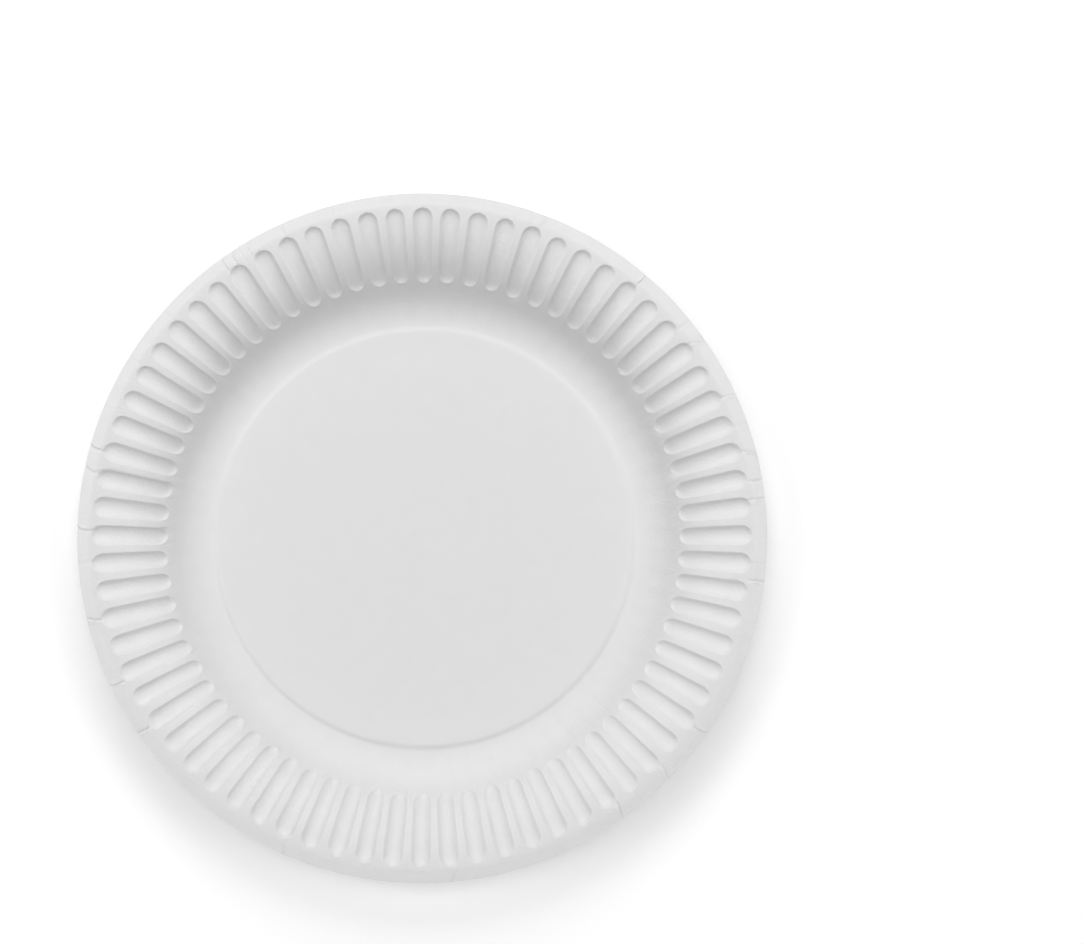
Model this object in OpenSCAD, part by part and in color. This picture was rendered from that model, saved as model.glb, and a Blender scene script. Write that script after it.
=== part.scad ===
// Round fluted plate, pressed from one disc of paperboard.
// It lies face up on its foot ring, with the middle of the foot's underside at the origin and +Z up.
// All sizes are in millimetres and all angles in degrees.

/* [Board] */
// Thickness of the pressed board
board_t = 0.45; // [0.35:0.05:0.6]

/* [Overall] */
// Diameter over the lip
plate_d = 229; // [150:1:280]
// Height of the crest of the rim above the table
plate_h = 19.9; // [17:0.1:23]

/* [Base] */
// Height of the panel above the foot ring
panel_lift = 0.8; // [0.4:0.1:1.2]
// Width of the step that goes down from the panel to the foot ring
step_w = 2.8; // [2:0.1:3.5]
// Width of the flat foot ring
foot_w = 1; // [0.6:0.1:1.6]

/* [Wall and rim] */
// Width of the bend that takes the foot ring up into the wall
wall_w = 11.4; // [9:0.1:14]
// Width of the bend that takes the wall over to the level crest of the rim
rim_w = 24.5; // [20:0.1:30]

/* [Lip] */
// Width of the lip outside the crest
lip_w = 5.3; // [4.5:0.1:6.5]
// Radius of the bend that turns the lip down
lip_bend_r = 2.5; // [1.5:0.1:4]
// Slope of the lip below the horizontal
lip_slope = 45; // [30:1:55]

/* [Flutes] */
// Number of flutes round the rim
flute_count = 72; // [60:2:76]
// Distance from the inner end of a flute in to where the rim bend starts
flute_gap_in = 0.7; // [0.3:0.05:2]
// Distance from the outer end of a flute out to the crest
flute_gap_out = 0.4; // [0.3:0.05:2]
// Depth of a flute at its wide outer end
flute_depth = 1.5; // [1:0.1:2]
// Depth of a flute at its narrow inner end
flute_depth_in = 0.9; // [0.6:0.1:1.4]
// Length of the slope that goes down into a flute at each end
flute_end_l = 1.6; // [1:0.1:3]

/* [Hidden] */
half_t = board_t / 2;

// The middle of the board's section runs in from the lip as rim, wall, foot, step and panel.
crest_r = plate_d / 2 - lip_w;
crest_z = plate_h - half_t;
rim_r = crest_r - rim_w;
wall_r = rim_r - wall_w;
foot_r = wall_r - foot_w;
panel_r = foot_r - step_w;
panel_z = half_t + panel_lift;

// Two equal and opposite bends make the step.
step_turn = 2 * atan(panel_lift / step_w);
step_bend_r = step_w / 2 / sin(step_turn);
step_centre = [panel_r, panel_z - step_bend_r];

// The wall bend turns up and the rim bend turns back level at the crest, so their turns are equal.
wall_turn = 2 * atan((crest_z - half_t) / (crest_r - wall_r));
wall_bend_r = wall_w / sin(wall_turn);
wall_centre = [wall_r, half_t + wall_bend_r];
rim_bend_r = rim_w / sin(wall_turn);
rim_centre = [crest_r, crest_z - rim_bend_r];

// The lip is cut square to the board, so its top corner is what reaches the full diameter.
lip_centre = [crest_r, crest_z - lip_bend_r];
lip_start = lip_centre + lip_bend_r * up_at(lip_slope);
lip_l = (plate_d / 2 - half_t * sin(lip_slope) - lip_start[0]) / cos(lip_slope);

// A flute lies between two turns of the rim bend, which are counted inwards from the crest.
out_turn = asin(flute_gap_out / rim_bend_r);
in_turn = asin((rim_w - flute_gap_in) / rim_bend_r);
end_turn = along(flute_end_l);

// Columns of points across one pitch, as shares of the pitch from the middle of a flute.
flank = 0.36;
ONE = [0];
FOUR = [0, flank, 0.5, 1 - flank];

WALL_RINGS = 3;
FLOOR_RINGS = 5;

// Turn of the rim bend that takes up a length of board.
function along(length) = length / rim_bend_r * 180 / PI;

// Direction that stands square on the board where it slopes down outwards by an angle.
function up_at(slope) = [sin(slope), cos(slope)];

// Half a flute's width at a radius.
function half_w(radius) = PI * radius / flute_count;

// Share of the half width, 0 in the middle of a flute and 1 on the land.
function across(column) = 2 * min(column, 1 - column);

// How far the rounded end of a flute has drawn back from its tip, as a share of the half width.
function drawn_back(column) = 1 - sqrt(1 - pow(across(column), 2));

// Share of the full depth across a flute, with a broad floor and steeper flanks.
function dip(column) = 1 - pow(across(column), 3);

// A ring of the section: its columns, and for each of them a point and the direction square to the board.
function plain_ring(point, slope) = [ONE, [[point, up_at(slope)]]];

// A ring across the flutes, from the turn at each column and the depth in the middle.
function flute_ring(turns, depth) = [FOUR, [
    for (k = [0 : len(FOUR) - 1])
        let (up = up_at(-turns[k]))
        [rim_centre + (rim_bend_r - depth * dip(FOUR[k])) * up, up]
]];

// Turns of the rounded inner and outer ends of a flute at each column, moved into it by some turn.
in_ends = [for (c = FOUR) in_turn - along(half_w(rim_r) * drawn_back(c))];
out_ends = [for (c = FOUR) out_turn + along(half_w(crest_r) * drawn_back(c))];

// The whole section as rings, from the panel's edge out to the cut edge of the lip.
rings = concat(
    [
        plain_ring([panel_r, panel_z], 0),
        plain_ring(step_centre + step_bend_r * up_at(step_turn), step_turn),
        plain_ring([foot_r, half_t], 0)
    ],
    [
        for (i = [0 : WALL_RINGS])
            let (turn = wall_turn * i / WALL_RINGS)
            plain_ring(wall_centre - wall_bend_r * up_at(-turn), -turn)
    ],
    [flute_ring(in_ends, 0)],
    [
        for (i = [0 : FLOOR_RINGS - 1])
            let (s = i / (FLOOR_RINGS - 1))
            flute_ring(
                (1 - s) * [for (t = in_ends) t - end_turn] + s * [for (t = out_ends) t + end_turn],
                (1 - s) * flute_depth_in + s * flute_depth
            )
    ],
    [
        flute_ring(out_ends, 0),
        plain_ring([crest_r, crest_z], 0),
        plain_ring(lip_centre + lip_bend_r * up_at(lip_slope / 2), lip_slope / 2),
        plain_ring(lip_start, lip_slope),
        plain_ring(lip_start + lip_l * [cos(lip_slope), -sin(lip_slope)], lip_slope)
    ]
);

// Points of a ring on one skin, once round the plate. side is 1 on top and -1 underneath.
function ring_points(ring, side) = [
    for (i = [0 : flute_count - 1], k = [0 : len(ring[0]) - 1])
        let (
            angle = (i + ring[0][k]) * 360 / flute_count,
            p = ring[1][k][0] + side * half_t * ring[1][k][1]
        )
        [p[0] * cos(angle), p[0] * sin(angle), p[1]]
];

// The middle point of the panel, and then every ring.
function skin_points(side) = concat(
    [[0, 0, panel_z + side * half_t]],
    [for (ring = rings) each ring_points(ring, side)]
);

// Number of points round a ring, and the index of its first point.
function around(j) = flute_count * len(rings[j][0]);
function first(j) = j == 0 ? 1 : first(j - 1) + around(j - 1);

// Triangles between ring j, with a points to the flute, and the next ring, with b points to the flute.
function band(j) =
    let (a = len(rings[j][0]), b = len(rings[j + 1][0]), in0 = first(j), out0 = first(j + 1))
    [
        for (i = [0 : flute_count - 1])
            each a == b ? quads(i * a, a, around(j), in0, out0)
                : a < b ? fan(i, b, in0, out0, false) : fan(i, a, out0, in0, true)
    ];

// Pairs of triangles from column k on, with the diagonals of the two halves of a flute mirrored.
function quads(start, n, total, in0, out0) = [
    for (k = [0 : n - 1])
        let (
            a = in0 + start + k,
            b = in0 + (start + k + 1) % total,
            c = out0 + (start + k + 1) % total,
            d = out0 + start + k
        )
        each k < n / 2 ? [[a, d, c], [a, c, b]] : [[a, d, b], [d, c, b]]
];

// A fan between one step of a coarse ring and the n steps of a fine ring beside it.
function fan(i, n, coarse0, fine0, flip) =
    let (
        c0 = coarse0 + i,
        c1 = coarse0 + (i + 1) % flute_count,
        f = [for (k = [0 : n]) fine0 + (i * n + k) % (flute_count * n)],
        faces = concat(
            [for (k = [0 : n / 2 - 1]) [c0, f[k], f[k + 1]]],
            [[c0, f[n / 2], c1]],
            [for (k = [n / 2 : n - 1]) [c1, f[k], f[k + 1]]]
        )
    )
    flip ? [for (t = faces) reversed(t)] : faces;

function reversed(face) = [face[2], face[1], face[0]];

// One skin: a fan over the panel and a band between every two rings.
skin_faces = concat(
    [for (i = [0 : flute_count - 1]) [0, 1 + i, 1 + (i + 1) % flute_count]],
    [for (j = [0 : len(rings) - 2]) each band(j)]
);
skin_size = len(skin_points(1));
last = len(rings) - 1;

// The cut edge of the board joins the two skins.
edge_faces = [
    for (i = [0 : around(last) - 1])
        let (a = first(last) + i, b = first(last) + (i + 1) % around(last))
        each [[a, a + skin_size, b + skin_size], [a, b + skin_size, b]]
];

// The top skin, the same skin under the board and the cut edge close one solid of even thickness.
module plate() {
    color("#e6e6e4")
        polyhedron(
            points = concat(skin_points(1), skin_points(-1)),
            faces = concat(
                [for (t = skin_faces) reversed(t)],
                [for (t = skin_faces) [for (n = t) n + skin_size]],
                [for (t = edge_faces) reversed(t)]
            )
        );
}

plate();
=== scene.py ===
"""Fluted paper plate, pressed from one disc of board and laid face up on a pale table.

The board runs out from the middle as a flat panel, a step down to the foot ring, a wall, a rim with a ring of
flutes and a lip that turns down. Lengths are in metres and angles in radians, unless a name says otherwise.
"""

import math

import bpy
import numpy as np
from bpy.props import FloatProperty, FloatVectorProperty, IntProperty, PointerProperty
from bpy.types import NodeSocket, Operator, Panel, PropertyGroup
from mathutils import Matrix, Vector


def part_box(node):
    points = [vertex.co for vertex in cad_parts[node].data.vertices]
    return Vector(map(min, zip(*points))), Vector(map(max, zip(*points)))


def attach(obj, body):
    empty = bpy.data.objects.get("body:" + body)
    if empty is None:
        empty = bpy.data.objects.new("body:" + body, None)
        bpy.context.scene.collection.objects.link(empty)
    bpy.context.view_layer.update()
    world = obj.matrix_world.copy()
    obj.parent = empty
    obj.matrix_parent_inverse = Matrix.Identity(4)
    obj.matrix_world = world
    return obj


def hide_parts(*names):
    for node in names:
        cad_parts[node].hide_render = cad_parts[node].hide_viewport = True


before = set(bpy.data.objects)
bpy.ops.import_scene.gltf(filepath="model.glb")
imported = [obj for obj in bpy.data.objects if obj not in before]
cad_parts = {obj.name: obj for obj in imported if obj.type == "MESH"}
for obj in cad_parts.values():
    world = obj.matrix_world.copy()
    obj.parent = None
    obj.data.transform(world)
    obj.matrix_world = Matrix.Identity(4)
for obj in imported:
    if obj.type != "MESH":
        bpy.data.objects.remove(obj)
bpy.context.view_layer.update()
PLATE_LOW, PLATE_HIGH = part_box("plate")

bl_info = {
    "name": "Fluted Paper Plate",
    "version": (1, 0, 0),
    "blender": (4, 5, 0),
    "location": "View3D > Sidebar > Paper Plate",
    "description": "Presses a fluted plate from one disc of paperboard and lights it on a table",
    "category": "Object",
}

MM = 0.001
MICRON = 0.001 * MM

# Size of the whole picture in pixels, which the camera is set for.
PICTURE_W, PICTURE_H = 1084, 944

# Places of the columns of points beside a ridge, as shares of the way to the middle of the flute.
RIDGE_COLUMNS = (0.12, 0.18, 0.21, 0.245, 0.3, 0.4, 0.62)
# Distances of the rows of points from the rounded end of a flute, from just outside it to its floor.
END_ROWS = tuple(MM * d for d in (-0.15, 0, 0.2, 0.45, 0.75, 1.2, 1.8, 2.7))
# Rings on the panel, as shares of the way from its edge in to the middle.
PANEL_RINGS = (0.88, 0.7, 0.5, 0.3, 0.12, 0.03)
# Rows on the other stretches.
MIDDLE_ROWS = 6
CREST_ROWS = 3
LIP_BEND_ROWS = 4
LIP_ROWS = 4
WALL_ROWS = 4
STEP_ROWS = 4
# Columns to a flute on the wall, and on the step and the panel inside it.
WALL_COLUMNS = 8
STEP_COLUMNS = 4
# Edges that turn by more than this many degrees look sharp.
SHARP_DEGREES = 70

# Waves that cross on the panel, and the share of its radius over which they die out at its edge.
PANEL_WAVES = 5
WAVE_FADE = 0.25

# A crease in section: distances across it, and the height of the board there as a share of its depth.
# The board laps up on one side and drops into a sharp fold on the other.
CREASE_ACROSS = tuple(MM * d for d in (-0.9, -0.1, 0.35, 0.6, 1.1))
CREASE_HEIGHT = (0, 0.6, -0.8, -0.3, 0)

# Creases round the lip: degrees at the cut edge, degrees at the inner end, and share of the full depth.
# A share below zero laps to the other side.
CREASES = (
    (6, 6, 1), (9.5, 9.5, -0.6), (13.5, 14.5, 1), (19, 19, 0.4), (24, 24.5, 1), (34.5, 35.5, 1),
    (39, 39, -0.6), (49.5, 49.5, -1), (60, 60, 0.4), (68.5, 69, 0.6), (71, 71, -0.6), (85.5, 85.5, 0.4),
    (105.5, 105.5, 0.4), (114.5, 114.5, 0.6), (121.2, 121.2, 0.6), (122.6, 122.6, 0.7), (124.1, 124.1, 1),
    (126, 126, 1), (139, 139, 0.4), (148.5, 148.5, 0.4), (164.5, 165, 1), (168, 169, 0.8), (178.5, 179, 0.9),
    (184.5, 184.5, 0.4), (194, 195, -1), (205.5, 206, 1), (215, 215.5, -1), (226.5, 226.5, 0.4),
    (246.5, 246, 0.6), (249.5, 249.5, 0.4), (261, 261, 0.4), (275, 276, -0.6), (300, 299, 0.4),
    (305, 306, 1), (309.5, 309.5, 0.4), (315, 316, 0.6), (325.5, 325, -1), (352, 352, 1), (355, 355, 0.4),
)

# Faint wrinkles in the wall: degrees, and share of the full height.
WRINKLES = ((8, 0.8), (121, 1), (123, -0.6), (170.5, 1), (186, 0.6), (205.5, 0.8), (231, -0.8), (300, 0.5))

# Lamps: name, setting that holds the power, degrees round from the right, degrees up, width and height.
# The side strips graze the rim. The near strip stands on the table, lower than the crest, so that only the
# lip sees it.
LAMPS = (
    ("key_lamp", "key_power", 90, 38, 0.8, 0.8),
    ("top_lamp", "top_power", 90, 90, 0.8, 0.8),
    ("left_lamp", "left_power", 180, 45, 0.8, 0.8),
    ("right_lamp", "right_power", 0, 45, 0.8, 0.8),
    ("left_strip", "strip_power", 180, 3, 1.2, 0.1),
    ("right_strip", "strip_power", 0, 3, 1.2, 0.1),
    ("near_strip", "near_power", 270, 0.4, 1.2, 0.018),
)

# Width of the table, and how far it lies below the plate, so that the two surfaces don't meet.
TABLE_W = 6.0
TABLE_DROP = 0.1 * MM
# Distances from the plate's middle at which the table's glow starts to grow and is full.
GLOW_NEAR, GLOW_FAR = 0.3, 1.0

# Number of the colour output on a Mix node.
MIX_COLOUR = 2


class BoardSizes(PropertyGroup):
    """Sizes of the board's section, from the panel in the middle out to the lip."""

    plate_d: FloatProperty(
        name="Diameter", description="Diameter over the lip",
        default=PLATE_HIGH.x - PLATE_LOW.x, min=0.15, max=0.28, unit="LENGTH",
    )
    plate_h: FloatProperty(
        name="Height", description="Height of the crest of the rim above the table",
        default=PLATE_HIGH.z - PLATE_LOW.z, min=0.017, max=0.023, unit="LENGTH",
    )
    board_t: FloatProperty(
        name="Board", description="Thickness of the pressed board",
        default=0.45 * MM, min=0.35 * MM, max=0.6 * MM, unit="LENGTH",
    )
    panel_lift: FloatProperty(
        name="Panel lift", description="Height of the panel above the foot ring",
        default=0.8 * MM, min=0.4 * MM, max=1.2 * MM, unit="LENGTH",
    )
    step_w: FloatProperty(
        name="Step", description="Width of the step from the panel down to the foot ring",
        default=2.8 * MM, min=2 * MM, max=3.5 * MM, unit="LENGTH",
    )
    foot_w: FloatProperty(
        name="Foot ring", description="Width of the flat foot ring",
        default=1.6 * MM, min=0.6 * MM, max=2 * MM, unit="LENGTH",
    )
    wall_w: FloatProperty(
        name="Wall", description="Width of the bend that takes the foot ring up into the wall",
        default=10.8 * MM, min=9 * MM, max=14 * MM, unit="LENGTH",
    )
    rim_w: FloatProperty(
        name="Rim", description="Width of the bend that takes the wall over to the level crest",
        default=25 * MM, min=20 * MM, max=30 * MM, unit="LENGTH",
    )
    lip_w: FloatProperty(
        name="Lip", description="Width of the lip outside the crest",
        default=4.8 * MM, min=4.5 * MM, max=6.5 * MM, unit="LENGTH",
    )
    lip_bend_r: FloatProperty(
        name="Lip bend", description="Radius of the bend that turns the lip down",
        default=2.2 * MM, min=1.5 * MM, max=4 * MM, unit="LENGTH",
    )
    lip_slope: FloatProperty(
        name="Lip slope", description="Slope of the lip below the horizontal",
        default=math.radians(36), min=math.radians(30), max=math.radians(55), subtype="ANGLE",
    )
    panel_wave: FloatProperty(
        name="Panel waves", description="Height of the faint unevenness of the panel",
        default=0.05 * MM, min=0, max=0.3 * MM, unit="LENGTH",
    )
    panel_wave_l: FloatProperty(
        name="Panel wavelength", description="Distance between the waves of the panel",
        default=45 * MM, min=20 * MM, max=100 * MM, unit="LENGTH",
    )


class FluteSizes(PropertyGroup):
    """Sizes of the flutes round the rim, and how unevenly the press left them."""

    count: IntProperty(
        name="Flutes", description="Number of flutes round the rim", default=72, min=60, max=76,
    )
    gap_in: FloatProperty(
        name="Inner gap",
        description="Distance from the inner end of a flute in to where the rim bend starts",
        default=1.2 * MM, min=0.3 * MM, max=2 * MM, unit="LENGTH",
    )
    gap_out: FloatProperty(
        name="Outer gap", description="Distance from the outer end of a flute out to the crest",
        default=0.25 * MM, min=0.2 * MM, max=2 * MM, unit="LENGTH",
    )
    depth: FloatProperty(
        name="Outer depth", description="Depth of a flute at its wide outer end",
        default=1.7 * MM, min=1 * MM, max=2.4 * MM, unit="LENGTH",
    )
    depth_in: FloatProperty(
        name="Inner depth", description="Depth of a flute at its narrow inner end",
        default=1.25 * MM, min=0.6 * MM, max=1.6 * MM, unit="LENGTH",
    )
    ridge_share: FloatProperty(
        name="Ridge", description="Share of the pitch that the crest of a ridge takes up",
        default=0.27, min=0.05, max=0.4, subtype="FACTOR",
    )
    edge_w: FloatProperty(
        name="Edge",
        description="Width over which the crest of a ridge rounds over into the hollow of the flute",
        default=0.12 * MM, min=0.1 * MM, max=1 * MM, unit="LENGTH",
    )
    flank: FloatProperty(
        name="Flank", description="Share of the depth that the steep flank beside a ridge takes",
        default=0.7, min=0, max=0.9, subtype="FACTOR",
    )
    flank_w: FloatProperty(
        name="Flank width", description="Width over which the steep flank runs out into the hollow",
        default=0.6 * MM, min=0.3 * MM, max=2 * MM, unit="LENGTH",
    )
    round_out: FloatProperty(
        name="Outer rounding", description="Length of the rounded outer end of a flute",
        default=3.6 * MM, min=2 * MM, max=5 * MM, unit="LENGTH",
    )
    round_in: FloatProperty(
        name="Inner rounding", description="Length of the rounded inner end of a flute",
        default=4.2 * MM, min=1.5 * MM, max=5 * MM, unit="LENGTH",
    )
    uneven_depth: FloatProperty(
        name="Uneven depth", description="How far the depth varies from flute to flute",
        default=0.06, min=0, max=0.3, subtype="FACTOR",
    )
    uneven_end: FloatProperty(
        name="Uneven ends", description="How far the ends vary from flute to flute",
        default=0.25 * MM, min=0, max=1 * MM, unit="LENGTH",
    )
    uneven_ridge: FloatProperty(
        name="Uneven ridges", description="How far a ridge stands off its even place",
        default=math.radians(0.08), min=0, max=math.radians(0.4), subtype="ANGLE",
    )
    seed: IntProperty(
        name="Seed", description="Start of the random draws for the uneven flutes and panel",
        default=7, min=0,
    )


class CreaseSizes(PropertyGroup):
    """Sizes of the creases across the lip and of the faint wrinkles in the wall."""

    depth: FloatProperty(
        name="Crease depth", description="Depth of a full crease",
        default=0.5 * MM, min=0, max=0.6 * MM, unit="LENGTH",
    )
    length: FloatProperty(
        name="Crease length", description="Length of a crease from the cut edge in",
        default=7 * MM, min=3 * MM, max=10 * MM, unit="LENGTH",
    )
    fade: FloatProperty(
        name="Crease fade", description="Length over which the inner end of a crease fades out",
        default=1 * MM, min=0.5 * MM, max=4 * MM, unit="LENGTH",
    )
    reach: FloatProperty(
        name="Crease reach",
        description="How far round the plate the board beside a slanted crease follows it",
        default=math.radians(1.6), min=math.radians(1), max=math.radians(2.4), subtype="ANGLE",
    )
    wrinkle_h: FloatProperty(
        name="Wrinkle height", description="Height of a full wrinkle in the wall",
        default=0.07 * MM, min=0, max=0.3 * MM, unit="LENGTH",
    )
    wrinkle_w: FloatProperty(
        name="Wrinkle width", description="Half the width of a wrinkle",
        default=1 * MM, min=0.5 * MM, max=3 * MM, unit="LENGTH",
    )
    wrinkle_l: FloatProperty(
        name="Wrinkle length", description="Half the length of a wrinkle, along the wall",
        default=4.5 * MM, min=2 * MM, max=8 * MM, unit="LENGTH",
    )


def linear(hex_colour):
    """An sRGB hex colour as the linear red, green and blue that Blender works in."""
    values = (int(hex_colour[i : i + 2], 16) / 255 for i in (1, 3, 5))
    return tuple(v / 12.92 if v <= 0.04045 else ((v + 0.055) / 1.055) ** 2.4 for v in values)


class BoardLook(PropertyGroup):
    """Colours and surface of the paperboard."""

    colour: FloatVectorProperty(
        name="Board", description="Colour of the bleached board where its fibres lie thick",
        default=linear("#e1e1e1"), min=0, max=1, subtype="COLOR",
    )
    thin_colour: FloatVectorProperty(
        name="Thin places", description="Colour of the board where its fibres lie thin",
        default=linear("#dddddd"), min=0, max=1, subtype="COLOR",
    )
    edge_colour: FloatVectorProperty(
        name="Cut edge", description="Colour of the raw cut edge",
        default=linear("#d9d9d8"), min=0, max=1, subtype="COLOR",
    )
    roughness: FloatProperty(
        name="Roughness", description="Roughness of the pressed face",
        default=0.62, min=0, max=1, subtype="FACTOR",
    )
    edge_roughness: FloatProperty(
        name="Edge roughness", description="Roughness of the cut edge",
        default=0.85, min=0, max=1, subtype="FACTOR",
    )
    ior: FloatProperty(name="IOR", description="Refractive index of cellulose", default=1.47, min=1, max=2)
    cloud_w: FloatProperty(
        name="Clouds", description="Size of the cloudy patches in which the fibres settled",
        default=6 * MM, min=2 * MM, max=20 * MM, unit="LENGTH",
    )
    fibre_w: FloatProperty(
        name="Fibres", description="Size of the fibre grain as drawn",
        default=0.9 * MM, min=0.1 * MM, max=2 * MM, unit="LENGTH",
    )
    fibre_h: FloatProperty(
        name="Fibre relief", description="Height of the fibre grain on the rim, where the board is stretched",
        default=160 * MICRON, min=0, max=0.3 * MM, unit="LENGTH",
    )
    ironed_h: FloatProperty(
        name="Ironed relief",
        description="Height of the fibre grain on the panel, which the press irons smooth",
        default=10 * MICRON, min=0, max=0.2 * MM, unit="LENGTH",
    )


class StageSettings(PropertyGroup):
    """Where the camera stands, and how bright the table and the lamps are."""

    lens: FloatProperty(
        name="Lens", description="Focal length", default=80.04 * MM, min=0.02, max=0.3, unit="LENGTH",
    )
    sensor: FloatProperty(
        name="Sensor", description="Width of the camera's sensor",
        default=36 * MM, min=0.01, max=0.1, unit="LENGTH",
    )
    distance: FloatProperty(
        name="Distance", description="Distance of the lip from the camera, along its view",
        default=0.8, min=0.3, max=3, unit="LENGTH",
    )
    tilt: FloatProperty(
        name="Tilt", description="How far the camera leans towards the viewer from straight overhead",
        default=math.radians(3.3), min=0, max=math.radians(30), subtype="ANGLE",
    )
    middle_x: FloatProperty(
        name="Middle across", description="Pixels from the picture's left edge to the middle of the lip",
        default=422.3, subtype="PIXEL",
    )
    middle_y: FloatProperty(
        name="Middle down", description="Pixels from the picture's top edge to the middle of the lip",
        default=535.6, subtype="PIXEL",
    )
    table_colour: FloatVectorProperty(
        name="Table", description="Colour of the pale table",
        default=linear("#f2f2f2"), min=0, max=1, subtype="COLOR",
    )
    table_glow: FloatProperty(
        name="Table glow",
        description="Light that the camera sees added to the middle of the table, to reach white",
        default=0.23, min=0, max=1,
    )
    room: FloatProperty(
        name="Room", description="Strength of the even light from all sides", default=0.075, min=0, max=2,
    )
    lamp_distance: FloatProperty(
        name="Lamp distance", description="Distance of every lamp from the middle of the plate",
        default=1.4, min=0.5, max=5, unit="LENGTH",
    )
    key_power: FloatProperty(
        name="Key lamp", description="Power of the soft lamp beyond the plate",
        default=8.8, min=0, max=200, unit="POWER",
    )
    top_power: FloatProperty(
        name="Top lamp", description="Power of the soft lamp overhead",
        default=5.2, min=0, max=200, unit="POWER",
    )
    left_power: FloatProperty(
        name="Left lamp", description="Power of the soft lamp on the left",
        default=5.6, min=0, max=200, unit="POWER",
    )
    right_power: FloatProperty(
        name="Right lamp", description="Power of the soft lamp on the right",
        default=5.1, min=0, max=200, unit="POWER",
    )
    strip_power: FloatProperty(
        name="Side strips", description="Power of the strip lamps at table level on the left and right",
        default=4.1, min=0, max=200, unit="POWER",
    )
    near_power: FloatProperty(
        name="Near strip", description="Power of the strip lamp at table level on the viewer's side",
        default=7.2, min=0, max=200, unit="POWER",
    )


def smooth(t):
    """0 below 0 and 1 above 1, with a soft rise between."""
    t = np.clip(t, 0, 1)
    return t * t * (3 - 2 * t)


class Section:
    """The board's middle line from the panel's edge out to the cut edge, as a chain of bends and flats."""

    def __init__(self, board):
        self.half_t = board.board_t / 2
        crest_r = board.plate_d / 2 - board.lip_w
        crest_z = board.plate_h - self.half_t
        self.rim_r = crest_r - board.rim_w
        wall_r = self.rim_r - board.wall_w
        self.panel_r = wall_r - board.foot_w - board.step_w
        self.panel_z = self.half_t + board.panel_lift

        step_turn = 2 * math.atan(board.panel_lift / board.step_w)
        wall_turn = 2 * math.atan((crest_z - self.half_t) / (crest_r - wall_r))
        self.rim_w = board.rim_w
        self.rim_bend_r = self.rim_w / math.sin(wall_turn)
        lip_start_r = crest_r + board.lip_bend_r * math.sin(board.lip_slope)
        lip_end_r = board.plate_d / 2 - self.half_t * math.sin(board.lip_slope)
        lip_l = (lip_end_r - lip_start_r) / math.cos(board.lip_slope)

        # Length of a bend that covers a width while it turns by an angle.
        def bend(width, turn):
            return width * turn / math.sin(turn)

        self.stretches = (
            ("step_top", bend(board.step_w / 2, step_turn), -step_turn),
            ("step", bend(board.step_w / 2, step_turn), step_turn),
            ("foot", board.foot_w, 0),
            ("wall", bend(board.wall_w, wall_turn), wall_turn),
            ("rim", bend(self.rim_w, wall_turn), -wall_turn),
            ("lip_bend", board.lip_bend_r * board.lip_slope, -board.lip_slope),
            ("lip", lip_l, 0),
        )
        self.end = {}
        reached = 0
        for name, length, _ in self.stretches:
            reached += length
            self.end[name] = reached

    def at(self, distance):
        """Radius, height and slope of the middle line at distances out along it from the panel's edge."""
        radius = self.panel_r + np.minimum(distance, 0)
        height = np.full_like(distance, self.panel_z)
        slope = np.zeros_like(distance)
        start, before = 0, 0
        for _, length, turn in self.stretches:
            part = np.clip(distance - start, 0, length)
            after = before + turn * part / length
            if turn:
                radius = radius + (np.sin(after) - math.sin(before)) * length / turn
                height = height - (np.cos(after) - math.cos(before)) * length / turn
            else:
                radius = radius + part * math.cos(before)
                height = height + part * math.sin(before)
            slope = slope + turn * part / length
            start += length
            before += turn
        return radius, height, slope


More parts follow.
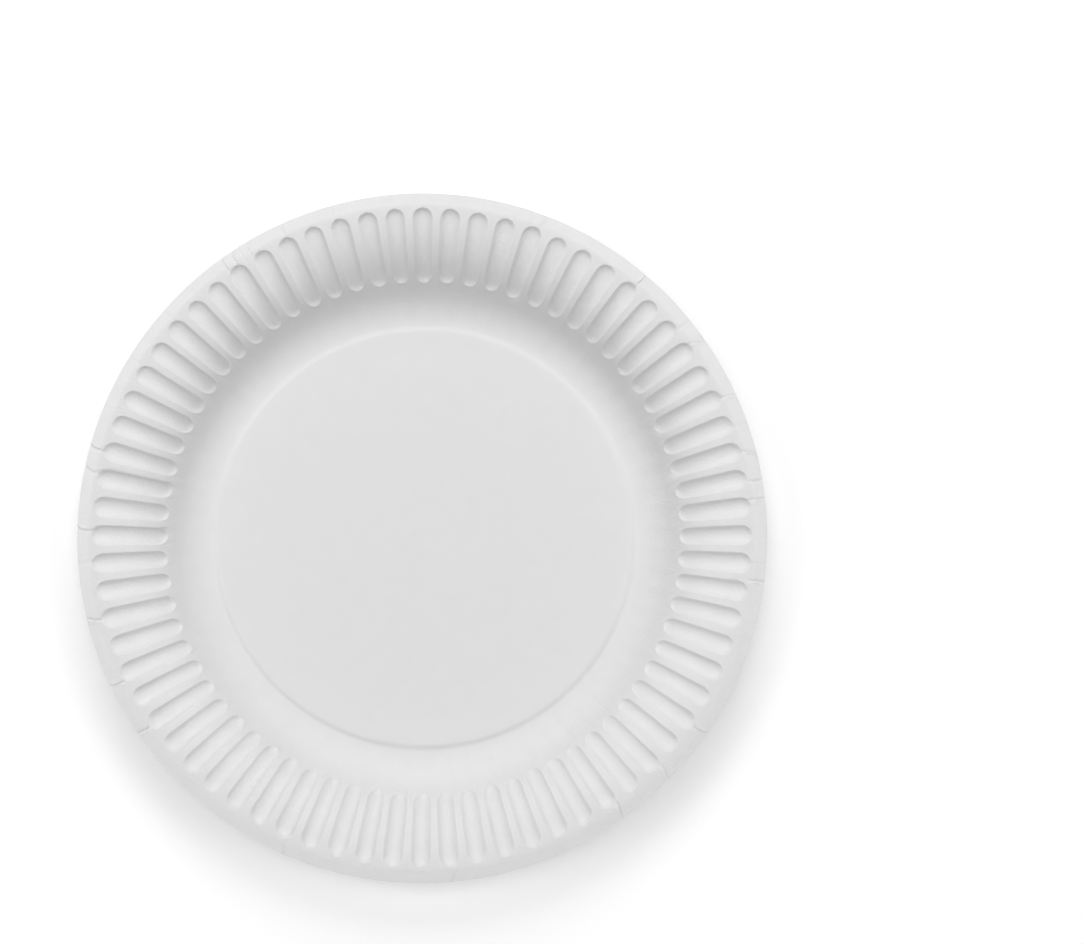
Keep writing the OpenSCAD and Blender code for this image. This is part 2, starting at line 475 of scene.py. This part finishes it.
class Flutes:
    """Where the ridges stand, and how far the board is pressed down between them."""

    def __init__(self, sizes, section, draws):
        self.sizes = sizes
        count = sizes.count
        crest = section.end["rim"]
        turn_in = math.asin((section.rim_w - sizes.gap_in) / section.rim_bend_r)
        turn_out = math.asin(sizes.gap_out / section.rim_bend_r)
        # An outer end falls short of its even place and never passes it, so that it stays clear of the crest.
        self.tip_in = crest - section.rim_bend_r * turn_in + draws.normal(0, sizes.uneven_end / 2, count)
        short = np.abs(draws.normal(0, sizes.uneven_end / 2, count))
        self.tip_out = crest - section.rim_bend_r * turn_out - short
        self.share = 1 + draws.normal(0, sizes.uneven_depth / 2, count)

        # Ridge k stands between flutes k and k + 1, and the list runs past a whole round at both ends.
        offsets = draws.normal(0, sizes.uneven_ridge / 2, count)
        k = np.arange(-2, count + 2)
        self.ridge_phase = k + 0.5
        self.ridge_angle = self.ridge_phase * 2 * np.pi / count + offsets[k % count]

    def angle(self, phase):
        """Angle of a place counted in flutes, where whole numbers are the middles of the flutes."""
        return np.interp(phase, self.ridge_phase, self.ridge_angle)

    def phase(self, angle):
        """Place of an angle, counted in flutes."""
        return np.interp(angle, self.ridge_angle, self.ridge_phase)

    def across(self, angle):
        """Number of the flute at an angle, and the share of the way from its middle to a ridge."""
        phase = self.phase(angle)
        nearest = np.rint(phase)
        return nearest.astype(int) % self.sizes.count, np.minimum(2 * np.abs(phase - nearest), 1)

    def half_width(self, radius):
        """Half the width of a flute inside the crests of its ridges."""
        return np.pi * radius / self.sizes.count * (1 - self.sizes.ridge_share)

    def ends(self, angle):
        """Distances out of the rounded inner and outer ends of the flutes at each angle."""
        flute, across = self.across(angle)
        share = np.minimum(across / (1 - self.sizes.ridge_share), 1)
        drawn_back = 1 - np.sqrt(1 - share * share)
        inner = self.tip_in[flute] + self.sizes.round_in * drawn_back
        outer = self.tip_out[flute] - self.sizes.round_out * drawn_back
        return inner, outer

    def dip(self, angle, distance, radius):
        """How far the board is pressed down at each place."""
        flute, across = self.across(angle)
        half = self.half_width(radius)
        beside = np.maximum(across * np.pi * radius / self.sizes.count, MICRON)
        past_in = self.tip_in[flute] + self.sizes.round_in - distance
        past_out = distance - self.tip_out[flute] + self.sizes.round_out
        inside = np.minimum(
            inside_rounding(beside, past_in, half, self.sizes.round_in),
            inside_rounding(beside, past_out, half, self.sizes.round_out),
        )
        inside = np.maximum(inside, 0)

        along = np.clip((distance - self.tip_in[flute]) / (self.tip_out[flute] - self.tip_in[flute]), 0, 1)
        depth = self.share[flute] * (self.sizes.depth_in + (self.sizes.depth - self.sizes.depth_in) * along)
        inside, half = (np.hypot(width, self.sizes.edge_w) - self.sizes.edge_w for width in (inside, half))
        hollow = 1 - (1 - np.clip(inside / half, 0, 1)) ** 2
        flank = 1 - np.exp(-inside / self.sizes.flank_w)
        return depth * (hollow + self.sizes.flank * (flank - hollow))


def inside_rounding(beside, past, half_w, rounding):
    """Distance inside a slot with a rounded end, from how far off its middle and past its straight part."""
    past = np.maximum(past, 0)
    reach = np.hypot(beside / half_w, past / rounding)
    return (1 - reach) * reach / np.hypot(beside / half_w**2, past / rounding**2)


class Creases:
    """Creases across the lip, where spare board gathered in the press, and faint wrinkles in the wall."""

    def __init__(self, sizes, section):
        self.sizes = sizes
        self.start = section.end["lip"] - sizes.length
        self.wall = section.end["wall"] - sizes.wrinkle_l
        self.radius = section.at(np.array([self.start]))[0][0]

    def columns(self):
        """Angles of the columns of points that each crease needs."""
        offsets = np.array(CREASE_ACROSS) / self.radius
        return [
            math.radians((edge + inner) / 2) + math.copysign(1, share) * offsets
            for edge, inner, share in CREASES
        ]

    def path(self, crease, distance):
        """Angle of a crease at distances out, and how far that is from its mean angle."""
        edge, inner, _ = crease
        out = np.clip((distance - self.start) / self.sizes.length, 0, 1)
        angle = math.radians(inner) + math.radians(edge - inner) * out**2
        return angle, angle - math.radians((edge + inner) / 2)

    def follow(self, angle, distance):
        """Angles moved so that the columns of points run along the creases."""
        moved = angle.copy()
        for crease in CREASES:
            path, shift = self.path(crease, distance)
            near = np.clip((angle - path + shift) / self.sizes.reach, -1, 1)
            moved += shift * (1 - near**2) ** 2
        return moved

    def height(self, angle, distance, radius):
        """How far the creases and wrinkles lift the board."""
        lift = np.zeros_like(angle)
        fade = smooth((distance - self.start) / self.sizes.fade)
        for crease in CREASES:
            share = crease[2]
            across = (angle - self.path(crease, distance)[0]) * radius * math.copysign(1, share)
            lift += abs(share) * self.sizes.depth * fade * np.interp(across, CREASE_ACROSS, CREASE_HEIGHT)
        for degrees, share in WRINKLES:
            across = (angle - math.radians(degrees)) * radius / self.sizes.wrinkle_w
            along = (distance - self.wall) / self.sizes.wrinkle_l
            lift += share * self.sizes.wrinkle_h * np.exp(-(across**2) - along**2)
        return lift


class PressedBoard:
    """The plate as rings of points on the board's middle, each ring a set of angles and distances out."""

    def __init__(self, board, flute_sizes, crease_sizes):
        draws = np.random.default_rng(flute_sizes.seed)
        self.section = Section(board)
        self.flutes = Flutes(flute_sizes, self.section, draws)
        self.creases = Creases(crease_sizes, self.section)
        self.count = flute_sizes.count
        self.board = board
        # Each wave of the panel has a direction and a start.
        self.waves = draws.uniform(0, 2 * np.pi, (PANEL_WAVES, 2))

    def even_columns(self, columns):
        """Angles of an even number of columns to a flute."""
        return self.flutes.angle(np.arange(self.count * columns) / columns)

    def fine_columns(self):
        """Angles of columns that crowd beside the ridges."""
        shares = np.array(RIDGE_COLUMNS) / 2
        one = np.concatenate([[0], 0.5 - shares[::-1], [0.5], 0.5 + shares])
        return self.flutes.angle((np.arange(self.count)[:, None] + one).ravel())

    def crease_columns(self, fine):
        """The fine columns with those near a crease replaced by the crease's own."""
        kept = fine
        own = self.creases.columns()
        for angles in own:
            kept = kept[(kept < angles.min()) | (kept > angles.max())]
        return np.sort(np.concatenate([kept, *own]))

    def rings(self):
        """Every ring from the middle of the panel out to the cut edge."""
        end = self.section.end
        step, wall = self.even_columns(STEP_COLUMNS), self.even_columns(WALL_COLUMNS)
        fine = self.fine_columns()
        creased = self.crease_columns(fine)
        rings = [(step, -self.section.panel_r * share) for share in PANEL_RINGS]
        rings += [(step, end["step"] * k / STEP_ROWS / 2) for k in range(2 * STEP_ROWS)]
        rings += [(wall, end["step"]), (wall, end["foot"])]

        # The rows on the wall lean over, from level at the foot to the rounded inner ends of the flutes.
        inner = self.flutes.ends(wall)[0] + END_ROWS[0]
        rings += [(wall, end["foot"] + (inner - end["foot"]) * k / WALL_ROWS) for k in range(1, WALL_ROWS)]

        inner, outer = self.flutes.ends(fine)
        rings += [(fine, inner + row) for row in END_ROWS]
        low, high = inner + END_ROWS[-1], outer - END_ROWS[-1]
        rings += [(fine, low + (high - low) * k / MIDDLE_ROWS) for k in range(1, MIDDLE_ROWS)]

        outer = self.flutes.ends(creased)[1]
        rings += [(creased, outer - row) for row in reversed(END_ROWS)]
        last, crest = outer - END_ROWS[0], end["rim"]
        rings += [(creased, last + (crest - last) * k / CREST_ROWS) for k in range(1, CREST_ROWS + 1)]
        lip_parts = ((crest, end["lip_bend"], LIP_BEND_ROWS), (end["lip_bend"], end["lip"], LIP_ROWS))
        for start, stop, rows in lip_parts:
            rings += [(creased, start + (stop - start) * k / rows) for k in range(1, rows + 1)]
        return rings

    def skin(self, ring, side):
        """Points of a ring on one face of the board. side is 1 on top and -1 underneath."""
        angle, distance = ring
        distance = np.broadcast_to(np.asarray(distance, float), angle.shape)
        angle = self.creases.follow(angle, distance)
        radius, height, slope = self.section.at(distance)
        lift = self.creases.height(angle, distance, radius) - self.flutes.dip(angle, distance, radius)
        lift = lift + side * self.section.half_t
        # A die cuts the edge to the diameter, and the press holds the creases to the height.
        radius = np.minimum(radius - lift * np.sin(slope), self.board.plate_d / 2)
        x, y = radius * np.cos(angle), radius * np.sin(angle)
        z = height + lift * np.cos(slope) + self.wave(x, y, distance)
        return np.column_stack([x, y, np.clip(z, 0, self.board.plate_h)])

    def wave(self, x, y, distance):
        """Faint unevenness of the panel, which dies out at its edge."""
        length = self.board.panel_wave_l
        total = sum(
            np.sin((x * math.cos(heading) + y * math.sin(heading)) * 2 * np.pi / length + start)
            for heading, start in self.waves
        )
        fade = smooth(-distance / (self.section.panel_r * WAVE_FADE))
        return self.board.panel_wave * total / PANEL_WAVES * fade


def band(first, inner, outer):
    """Faces between two rings of angles, from the number of the first point. They face up."""
    start, stop = first, first + len(inner)
    if len(inner) == len(outer):
        a, b = np.arange(len(inner)), np.roll(np.arange(len(inner)), -1)
        return np.column_stack([start + a, stop + a, stop + b, start + b]).tolist()
    # Each point closes a triangle with the one before it and the latest point of the other ring.
    latest_out = np.searchsorted(outer, inner, "left") - 1
    latest_in = np.searchsorted(inner, outer, "right") - 1
    a, b = np.arange(len(inner)), np.arange(len(outer))
    inner_steps = np.column_stack([start + a - 1, stop + latest_out % len(outer), start + a])
    inner_steps[0, 0] = start + len(inner) - 1
    outer_steps = np.column_stack([stop + b - 1, stop + b, start + latest_in % len(inner)])
    outer_steps[0, 0] = stop + len(outer) - 1
    return inner_steps.tolist() + outer_steps.tolist()


def press_mesh(pressed):
    """The closed mesh of the plate, and how many faces the cut edge has, which come last."""
    rings = pressed.rings()
    faces, first = [], 1
    middle = len(rings[0][0])
    faces += [(0, 1 + k, 1 + (k + 1) % middle) for k in range(middle)]
    for (inner, _), (outer, _) in zip(rings, rings[1:]):
        faces += band(first, inner, outer)
        first += len(inner)
    skin_size = first + len(rings[-1][0])

    points = []
    for side in (1, -1):
        skins = [pressed.skin(ring, side) for ring in rings]
        points += [[[0, 0, skins[0][:, 2].mean()]], *skins]
    edge = len(rings[-1][0])
    under = [tuple(skin_size + p for p in reversed(face)) for face in faces]
    cut = []
    for k in range(edge):
        here, ahead = first + k, first + (k + 1) % edge
        cut.append((here, skin_size + here, skin_size + ahead, ahead))

    mesh = bpy.data.meshes.new("fluted_plate")
    mesh.from_pydata(np.concatenate(points).tolist(), [], faces + under + cut)
    if mesh.validate():
        raise RuntimeError("the plate's rings don't make clean faces")
    return mesh, edge


def add_node(tree, kind, inputs, **settings):
    """Adds a node with its settings. An input is a value, or the output socket that it is linked from."""
    node = tree.nodes.new(kind)
    for name, value in settings.items():
        setattr(node, name, value)
    for name, value in inputs.items():
        if isinstance(value, NodeSocket):
            tree.links.new(value, node.inputs[name])
        else:
            node.inputs[name].default_value = value
    return node


def new_material(name):
    """An empty node material with its Principled shader."""
    material = bpy.data.materials.new(name)
    material.use_nodes = True
    return material, material.node_tree, material.node_tree.nodes["Principled BSDF"]


def place_in(tree):
    """Where a spot lies, in metres from the middle of the plate."""
    return add_node(tree, "ShaderNodeTexCoord", {}).outputs["Object"]


def ramp_outwards(tree, near, far, at_near, at_far, **settings):
    """A value that goes from one level to another between two distances from the middle of the plate."""
    out = add_node(tree, "ShaderNodeVectorMath", {0: place_in(tree)}, operation="LENGTH")
    ramp = add_node(
        tree, "ShaderNodeMapRange",
        {
            "Value": out.outputs["Value"],
            "From Min": near, "From Max": far, "To Min": at_near, "To Max": at_far,
        },
        **settings,
    )
    return ramp.outputs["Result"]


def board_surface(tree, shader, look, roughness, patches, low_colour, grain, grain_h):
    """Sets a board's shader: patches of two colours, with a grain that stands up by some height."""
    colour = add_node(
        tree, "ShaderNodeMix", {"Factor": patches, "A": (*low_colour, 1), "B": (*look.colour, 1)},
        data_type="RGBA",
    )
    relief = add_node(tree, "ShaderNodeBump", {"Height": grain, "Distance": grain_h, "Strength": 1})
    shader.inputs["Roughness"].default_value = roughness
    shader.inputs["IOR"].default_value = look.ior
    tree.links.new(colour.outputs[MIX_COLOUR], shader.inputs["Base Color"])
    tree.links.new(relief.outputs["Normal"], shader.inputs["Normal"])


def calendered_paperboard(look, section):
    """Bleached paperboard, rolled smooth and pressed between dies.

    It looks white and matt, with soft clouds where the fibres settled unevenly and a faint grain of fibres.
    The grain is fainter on the panel, which the press irons smooth, than on the rim, where the board is
    stretched.
    """
    material, tree, shader = new_material("calendered_paperboard")
    place = place_in(tree)
    clouds = add_node(
        tree, "ShaderNodeTexNoise",
        {"Vector": place, "Scale": 1 / look.cloud_w, "Detail": 3, "Roughness": 0.55},
    )
    # Fibres are 0.02 to 0.04 mm wide and clump at 0.1 to 0.3 mm. They are drawn coarser and higher than that,
    # to show in a picture.
    fibres = add_node(
        tree, "ShaderNodeTexNoise",
        {"Vector": place, "Scale": 1 / look.fibre_w, "Detail": 2, "Roughness": 0.6, "Distortion": 0.6},
    )
    height = ramp_outwards(
        tree, section.panel_r, section.rim_r, look.ironed_h, look.fibre_h, interpolation_type="SMOOTHSTEP",
    )
    board_surface(
        tree, shader, look, look.roughness,
        clouds.outputs["Fac"], look.thin_colour, fibres.outputs["Fac"], height,
    )
    return material


def die_cut_edge(look):
    """The raw edge of the board, cut by a die.

    It looks rough and a little darker than the face, with the fibres torn open.
    """
    material, tree, shader = new_material("die_cut_edge")
    torn = add_node(
        tree, "ShaderNodeTexNoise",
        {"Vector": place_in(tree), "Scale": 1 / look.fibre_w, "Detail": 4, "Roughness": 0.7},
    ).outputs["Fac"]
    board_surface(tree, shader, look, look.edge_roughness, torn, look.edge_colour, torn, look.fibre_h)
    return material


class PAPER_PLATE_OT_press_board(Operator):
    """Press the fluted plate from one disc of paperboard, in place of the plain one"""

    bl_idname = "paper_plate.press_board"
    bl_label = "Press Plate"
    bl_options = {"REGISTER", "UNDO"}

    def execute(self, context):
        scene = context.scene
        pressed = PressedBoard(scene.plate_board, scene.plate_flutes, scene.plate_creases)
        mesh, edge_faces = press_mesh(pressed)
        mesh.materials.append(calendered_paperboard(scene.plate_look, pressed.section))
        mesh.materials.append(die_cut_edge(scene.plate_look))
        # The faces of the cut edge come last and have the second material.
        which = np.zeros(len(mesh.polygons), np.int32)
        which[-edge_faces:] = 1
        mesh.polygons.foreach_set("material_index", which)
        mesh.shade_smooth()
        mesh.set_sharp_from_angle(angle=math.radians(SHARP_DEGREES))

        plate = bpy.data.objects.new("fluted_plate", mesh)
        scene.collection.objects.link(plate)
        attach(plate, "root")
        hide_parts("plate")
        return {"FINISHED"}


def pale_table(stage):
    """A painted table top: pale and matt, with nothing to see on it but the plate's shadow."""
    material, tree, shader = new_material("pale_matt_table")
    shader.inputs["Base Color"].default_value = (*stage.table_colour, 1)
    shader.inputs["Roughness"].default_value = 1
    shader.inputs["Specular IOR Level"].default_value = 0
    # The lamps light only the middle of the table. Beyond it the glow grows, until the whole table is white.
    level = ramp_outwards(tree, GLOW_NEAR, GLOW_FAR, stage.table_glow, 1)
    glow = add_node(tree, "ShaderNodeMath", {0: seen_ray(tree), 1: level}, operation="MULTIPLY")
    light = add_node(tree, "ShaderNodeEmission", {"Strength": glow.outputs[0]})
    both = add_node(tree, "ShaderNodeAddShader", {0: shader.outputs[0], 1: light.outputs[0]})
    tree.links.new(both.outputs[0], tree.nodes["Material Output"].inputs["Surface"])
    return material


def seen_ray(tree):
    """1 for what the camera sees, also in a gloss or through glass, and 0 for light that falls on things."""
    rays = add_node(tree, "ShaderNodeLightPath", {})
    seen = rays.outputs["Is Camera Ray"]
    for kind in ("Is Glossy Ray", "Is Transmission Ray"):
        either = add_node(tree, "ShaderNodeMath", {0: seen, 1: rays.outputs[kind]}, operation="MAXIMUM")
        seen = either.outputs[0]
    return seen


def light_room(scene, stage):
    """Even light from all sides, and a white backdrop for whatever the camera sees."""
    world = bpy.data.worlds.new("white_studio")
    world.use_nodes = True
    tree = world.node_tree
    strength = add_node(
        tree, "ShaderNodeMix", {"Factor": seen_ray(tree), "A": stage.room, "B": 1.0}, data_type="FLOAT",
    )
    tree.nodes["Background"].inputs["Color"].default_value = (1, 1, 1, 1)
    tree.links.new(strength.outputs[0], tree.nodes["Background"].inputs["Strength"])
    scene.world = world


def hang_lamps(scene, stage):
    """Soft lamps round the plate, all aimed at its middle."""
    for name, power, azimuth, elevation, width, height in LAMPS:
        light = bpy.data.lights.new(name, "AREA")
        light.shape = "RECTANGLE"
        light.size, light.size_y = width, height
        light.energy = getattr(stage, power)
        towards = Vector((math.cos(math.radians(elevation)), 0, math.sin(math.radians(elevation))))
        towards.rotate(Matrix.Rotation(math.radians(azimuth), 3, "Z"))
        lamp = bpy.data.objects.new(name, light)
        lamp.visible_camera = False
        lamp.location = stage.lamp_distance * towards
        lamp.rotation_mode = "QUATERNION"
        lamp.rotation_quaternion = towards.to_track_quat("Z", "Y")
        scene.collection.objects.link(lamp)


def set_camera(scene, stage, lip_z):
    """A camera almost overhead, placed so that the middle of the lip falls on its pixel."""
    data = bpy.data.cameras.new("overhead_camera")
    data.sensor_width = stage.sensor / MM
    data.lens = stage.lens / MM
    pixel = stage.distance * stage.sensor / stage.lens / PICTURE_W
    back = Vector((0, -math.sin(stage.tilt), math.cos(stage.tilt)))
    up = Vector((0, math.cos(stage.tilt), math.sin(stage.tilt)))
    right = Vector((1, 0, 0))
    to_right = (PICTURE_W / 2 - stage.middle_x) * pixel
    to_top = (stage.middle_y - PICTURE_H / 2) * pixel
    place = Vector((0, 0, lip_z)) + back * stage.distance + right * to_right + up * to_top

    camera = bpy.data.objects.new("overhead_camera", data)
    camera.matrix_world = Matrix.Translation(place) @ Matrix((right, up, back)).transposed().to_4x4()
    scene.collection.objects.link(camera)
    scene.camera = camera


class PAPER_PLATE_OT_set_stage(Operator):
    """Lay the table, hang the lamps and stand the camera over the plate"""

    bl_idname = "paper_plate.set_stage"
    bl_label = "Set Stage"
    bl_options = {"REGISTER", "UNDO"}

    def execute(self, context):
        scene = context.scene
        scene.view_settings.view_transform = "Standard"
        stage = scene.plate_stage
        sides = ((-1, -1), (1, -1), (1, 1), (-1, 1))
        corners = [(x * TABLE_W / 2, y * TABLE_W / 2, -TABLE_DROP) for x, y in sides]
        mesh = bpy.data.meshes.new("table")
        mesh.from_pydata(corners, [], [(0, 1, 2, 3)])
        mesh.materials.append(pale_table(stage))
        table = bpy.data.objects.new("table", mesh)
        scene.collection.objects.link(table)

        light_room(scene, stage)
        hang_lamps(scene, stage)
        section = Section(scene.plate_board)
        set_camera(scene, stage, section.at(np.array([section.end["lip"]]))[1][0])
        return {"FINISHED"}


class PAPER_PLATE_PT_sidebar(Panel):
    """Sizes, look and stage of the paper plate"""

    bl_label = "Paper Plate"
    bl_idname = "PAPER_PLATE_PT_sidebar"
    bl_space_type = "VIEW_3D"
    bl_region_type = "UI"
    bl_category = "Paper Plate"

    def draw(self, context):
        for name in SETTINGS:
            box = self.layout.box()
            group = getattr(context.scene, name)
            for prop in group.bl_rna.properties:
                if prop.identifier not in ("rna_type", "name"):
                    box.prop(group, prop.identifier)
        self.layout.operator(PAPER_PLATE_OT_press_board.bl_idname)
        self.layout.operator(PAPER_PLATE_OT_set_stage.bl_idname)


SETTINGS = {
    "plate_board": BoardSizes,
    "plate_flutes": FluteSizes,
    "plate_creases": CreaseSizes,
    "plate_look": BoardLook,
    "plate_stage": StageSettings,
}
CLASSES = (*SETTINGS.values(), PAPER_PLATE_OT_press_board, PAPER_PLATE_OT_set_stage, PAPER_PLATE_PT_sidebar)


def register():
    """Adds the settings, the operators and the panel."""
    for cls in CLASSES:
        bpy.utils.register_class(cls)
    for name, group in SETTINGS.items():
        setattr(bpy.types.Scene, name, PointerProperty(type=group))


def unregister():
    """Takes the panel, the operators and the settings out again."""
    for name in SETTINGS:
        delattr(bpy.types.Scene, name)
    for cls in reversed(CLASSES):
        bpy.utils.unregister_class(cls)


def main():
    """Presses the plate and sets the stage."""
    register()
    bpy.ops.paper_plate.press_board()
    bpy.ops.paper_plate.set_stage()


if __name__ == "__main__":
    main()
